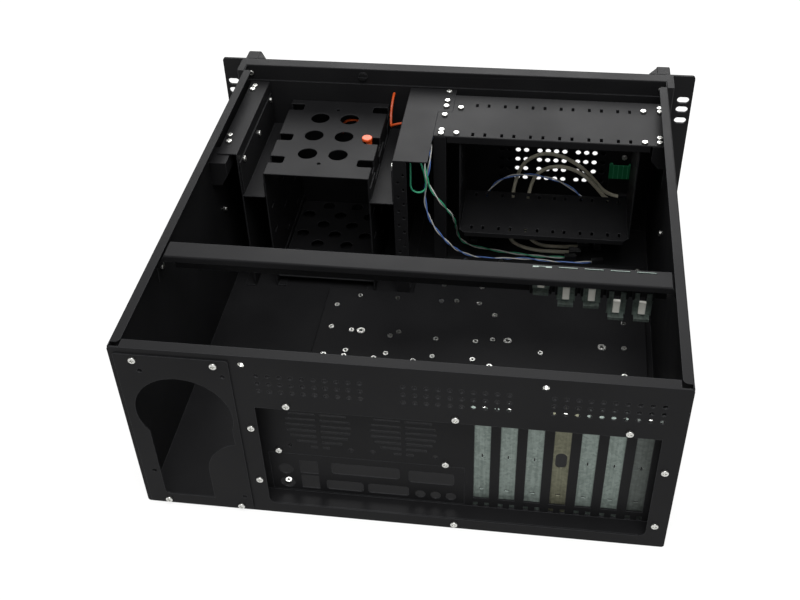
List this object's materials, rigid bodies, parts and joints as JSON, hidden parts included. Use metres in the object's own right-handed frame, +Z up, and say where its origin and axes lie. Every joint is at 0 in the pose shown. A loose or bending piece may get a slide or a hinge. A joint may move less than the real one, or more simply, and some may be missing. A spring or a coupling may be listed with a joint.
{
  "type": "empty rackmount server case",
  "caption": "Lidless rack-height steel case with rack ears and bow handles, raised board tray, drive cages, cross brace with sliding card clamps, slotted rear recess and loose front leads",
  "frame": {"origin": "underside of the floor, midway between the side walls, 220 mm in front of the rear face", "axes": "+Z up, -Y out of the front towards the handles, +X towards the power supply opening"},
  "size_m": [0.4826, 0.485, 0.177],
  "materials": {
    "black_steel": "satin",
    "zinc_steel": "galvanised",
    "screw_steel": "bright",
    "handle_metal": "satin",
    "black_plastic": "matt",
    "lamp_plastic": "gloss",
    "circuit_board": "gloss",
    "grey_cable": "satin",
    "green_wire": "satin",
    "blue_wire": "satin",
    "yellow_wire": "satin",
    "orange_wire": "satin",
    "white_rubber": "matt"
  },
  "bodies": {
    "case": {"chassis_tub": "black_steel", "motherboard_tray": "black_steel", "rear_panel": "black_steel", "psu_plate": "black_steel", "rear_pan": "black_steel", "io_shield": "zinc_steel", "slot_cover_1": "zinc_steel", "slot_cover_2": "zinc_steel", "slot_cover_3": "zinc_steel", "slot_cover_4": "zinc_steel", "slot_cover_5": "zinc_steel", "slot_cover_6": "zinc_steel", "slot_cover_7": "zinc_steel", "cross_brace": "black_steel", "clamp_guides": "zinc_steel", "front_wall": "black_steel", "front_bezel": "black_steel", "rack_ear_left": "black_steel", "rack_ear_right": "black_steel", "handle_left": "handle_metal", "handle_right": "handle_metal", "left_support": "black_steel", "wall_block_left": "black_steel", "centre_support": "black_steel", "cage_hanger_left": "black_steel", "cage_hanger_right": "black_steel", "hdd_cage": "black_steel", "hdd_cage_floor": "black_steel", "bay_bracket": "black_steel", "bay_cage": "black_steel", "bay_post_left": "black_steel", "bay_rail_right": "black_steel", "switch_bodies": "black_plastic", "status_leds": "lamp_plastic", "usb_board": "circuit_board", "usb_sockets": "zinc_steel", "usb_lead_a": "grey_cable", "usb_lead_b": "grey_cable", "power_lead": "green_wire", "led_lead": "blue_wire", "reset_lead": "green_wire", "arch_lead": "yellow_wire", "orange_lead": "orange_wire", "drive_lead": "orange_wire", "lead_plugs": "black_plastic", "rear_screws": "screw_steel", "inner_screws": "screw_steel", "orange_cap": "orange_wire"},
    "power_button": {"power_button": "black_plastic"},
    "reset_button": {"reset_button": "black_plastic"},
    "clamp_1": {"card_clamp_1": "zinc_steel", "clamp_pad_1": "white_rubber"},
    "clamp_2": {"card_clamp_2": "zinc_steel", "clamp_pad_2": "white_rubber"},
    "clamp_3": {"card_clamp_3": "zinc_steel", "clamp_pad_3": "white_rubber"},
    "clamp_4": {"card_clamp_4": "zinc_steel", "clamp_pad_4": "white_rubber"},
    "clamp_5": {"card_clamp_5": "zinc_steel", "clamp_pad_5": "white_rubber"}
  },
  "joints": [
    {"name": "power_press", "type": "slide", "parent": "case", "child": "power_button", "axis": [0, 1, 0], "range_m": [0, 0.0025], "stiffness_N_per_m": 300},
    {"name": "reset_press", "type": "slide", "parent": "case", "child": "reset_button", "axis": [0, 1, 0], "range_m": [0, 0.0015], "stiffness_N_per_m": 300},
    {"name": "clamp_1_slide", "type": "slide", "parent": "case", "child": "clamp_1", "axis": [0, 0, 1], "range_m": [-0.023, 0]},
    {"name": "clamp_2_slide", "type": "slide", "parent": "case", "child": "clamp_2", "axis": [0, 0, 1], "range_m": [-0.0125, 0.0104]},
    {"name": "clamp_3_slide", "type": "slide", "parent": "case", "child": "clamp_3", "axis": [0, 0, 1], "range_m": [-0.0125, 0.0104]},
    {"name": "clamp_4_slide", "type": "slide", "parent": "case", "child": "clamp_4", "axis": [0, 0, 1], "range_m": [-0.002, 0.0209]},
    {"name": "clamp_5_slide", "type": "slide", "parent": "case", "child": "clamp_5", "axis": [0, 0, 1], "range_m": [-0.002, 0.0209]}
  ]
}
